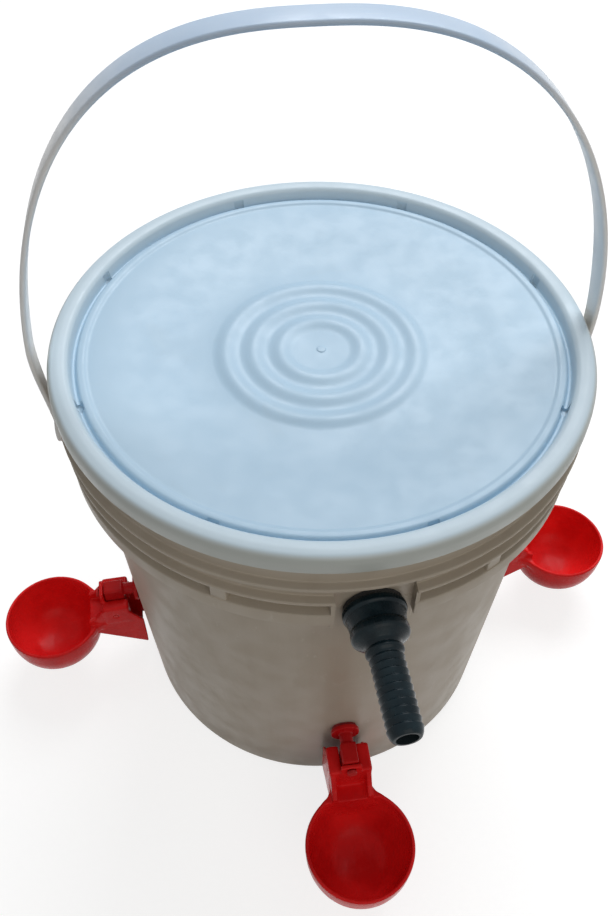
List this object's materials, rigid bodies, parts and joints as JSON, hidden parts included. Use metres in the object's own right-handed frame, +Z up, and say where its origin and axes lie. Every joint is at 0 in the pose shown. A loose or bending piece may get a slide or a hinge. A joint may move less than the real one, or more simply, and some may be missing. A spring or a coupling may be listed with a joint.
{
  "type": "poultry drinker",
  "caption": "Lidded plastic pail that keeps itself filled through a float valve and waters poultry through tipping cups low on its wall, with a strap bail to carry it",
  "frame": {"origin": "centre of the pail's round foot, on the floor", "axes": "+Z up along the pail's axis; -Y towards the front cup and the hose tail; +X to the right cup"},
  "size_m": [0.4628, 0.4631, 0.4798],
  "materials": {
    "pail_plastic": "satin white polypropylene",
    "lid_plastic": "satin white polypropylene with a blue cast",
    "bail_plastic": "thin translucent white plastic strap",
    "cup_plastic": "glossy red plastic",
    "fitting_plastic": "black moulded plastic with a soft sheen",
    "float_plastic": "hollow white float, matte",
    "valve_plastic": "darker red plastic with a soft gloss",
    "soft_red": "soft dark red rubber",
    "rubber": "soft black rubber",
    "steel": "stainless wire and rod"
  },
  "bodies": {
    "pail": {"pail_body": "pail_plastic", "hose_tail": "fitting_plastic", "inlet_outer_washer": "rubber", "inlet_inner_washer": "rubber", "inlet_locknut": "fitting_plastic", "float_valve_body": "fitting_plastic", "float_pin": "steel", "cup_housing_front": "valve_plastic", "cup_nut_front": "cup_plastic", "cup_pin_front": "cup_plastic", "cup_spring_front": "steel", "cup_washer_front": "soft_red", "cup_housing_right": "valve_plastic", "cup_nut_right": "cup_plastic", "cup_pin_right": "cup_plastic", "cup_spring_right": "steel", "cup_washer_right": "soft_red", "cup_housing_rear": "valve_plastic", "cup_nut_rear": "cup_plastic", "cup_pin_rear": "cup_plastic", "cup_spring_rear": "steel", "cup_washer_rear": "soft_red", "cup_housing_left": "valve_plastic", "cup_nut_left": "cup_plastic", "cup_pin_left": "cup_plastic", "cup_spring_left": "steel", "cup_washer_left": "soft_red"},
    "lid": {"lid": "lid_plastic", "lid_gasket": "rubber"},
    "bail": {"bail_handle": "bail_plastic"},
    "cup_front": {"cup_bowl_front": "cup_plastic"},
    "valve_front": {"cup_plunger_front": "valve_plastic", "cup_seal_front": "rubber"},
    "cup_right": {"cup_bowl_right": "cup_plastic"},
    "valve_right": {"cup_plunger_right": "valve_plastic", "cup_seal_right": "rubber"},
    "cup_rear": {"cup_bowl_rear": "cup_plastic"},
    "valve_rear": {"cup_plunger_rear": "valve_plastic", "cup_seal_rear": "rubber"},
    "cup_left": {"cup_bowl_left": "cup_plastic"},
    "valve_left": {"cup_plunger_left": "valve_plastic", "cup_seal_left": "rubber"},
    "float": {"float_arm": "fitting_plastic", "float_ball": "float_plastic"},
    "float_plunger": {"float_plunger": "float_plastic", "float_plunger_tip": "rubber"}
  },
  "joints": [
    {"name": "lid_lift", "type": "slide", "parent": "pail", "child": "lid", "axis": [0, 0, 1], "range_m": [0, 0.011]},
    {"name": "bail_swing", "type": "hinge", "parent": "pail", "child": "bail", "pos_m": [0, 0, 0.2503], "axis": [0.9998, -0.0174, 0], "range_deg": [-126, 126]},
    {"name": "cup_tip_front", "type": "hinge", "parent": "pail", "child": "cup_front", "pos_m": [0, -0.15, 0.066], "axis": [1, 0, 0], "range_deg": [0, 6], "stiffness_Nm_per_rad": 0.15, "springref_deg": -11.46},
    {"name": "valve_pull_front", "type": "slide", "parent": "pail", "child": "valve_front", "axis": [0, -1, 0], "range_m": [0, 0.0016]},
    {"name": "cup_tip_right", "type": "hinge", "parent": "pail", "child": "cup_right", "pos_m": [0.14979, 0.00785, 0.066], "axis": [-0.0523, 0.9986, 0], "range_deg": [0, 6], "stiffness_Nm_per_rad": 0.15, "springref_deg": -11.46},
    {"name": "valve_pull_right", "type": "slide", "parent": "pail", "child": "valve_right", "axis": [0.9986, 0.0523, 0], "range_m": [0, 0.0016]},
    {"name": "cup_tip_rear", "type": "hinge", "parent": "pail", "child": "cup_rear", "pos_m": [-0.00523, 0.14991, 0.066], "axis": [-0.9994, -0.0349, 0], "range_deg": [0, 6], "stiffness_Nm_per_rad": 0.15, "springref_deg": -11.46},
    {"name": "valve_pull_rear", "type": "slide", "parent": "pail", "child": "valve_rear", "axis": [-0.0349, 0.9994, 0], "range_m": [0, 0.0016]},
    {"name": "cup_tip_left", "type": "hinge", "parent": "pail", "child": "cup_left", "pos_m": [-0.14991, -0.00523, 0.066], "axis": [0.0349, -0.9994, 0], "range_deg": [0, 6], "stiffness_Nm_per_rad": 0.15, "springref_deg": -11.46},
    {"name": "valve_pull_left", "type": "slide", "parent": "pail", "child": "valve_left", "axis": [-0.9994, -0.0349, 0], "range_m": [0, 0.0016]},
    {"name": "float_swing", "type": "hinge", "parent": "pail", "child": "float", "pos_m": [0.00379, -0.09442, 0.2405], "axis": [0.9992, 0.0401, 0], "range_deg": [0, 25]},
    {"name": "float_plunger_slide", "type": "slide", "parent": "pail", "child": "float_plunger", "axis": [0.0401, -0.9992, 0], "range_m": [0, 0.0044]}
  ],
  "couplings": [
    {"joint": "valve_pull_front", "follows": "cup_tip_front", "m_per_rad": 0.014},
    {"joint": "valve_pull_right", "follows": "cup_tip_right", "m_per_rad": 0.014},
    {"joint": "valve_pull_rear", "follows": "cup_tip_rear", "m_per_rad": 0.014},
    {"joint": "valve_pull_left", "follows": "cup_tip_left", "m_per_rad": 0.014},
    {"joint": "float_plunger_slide", "follows": "float_swing", "m_per_rad": 0.0099}
  ]
}
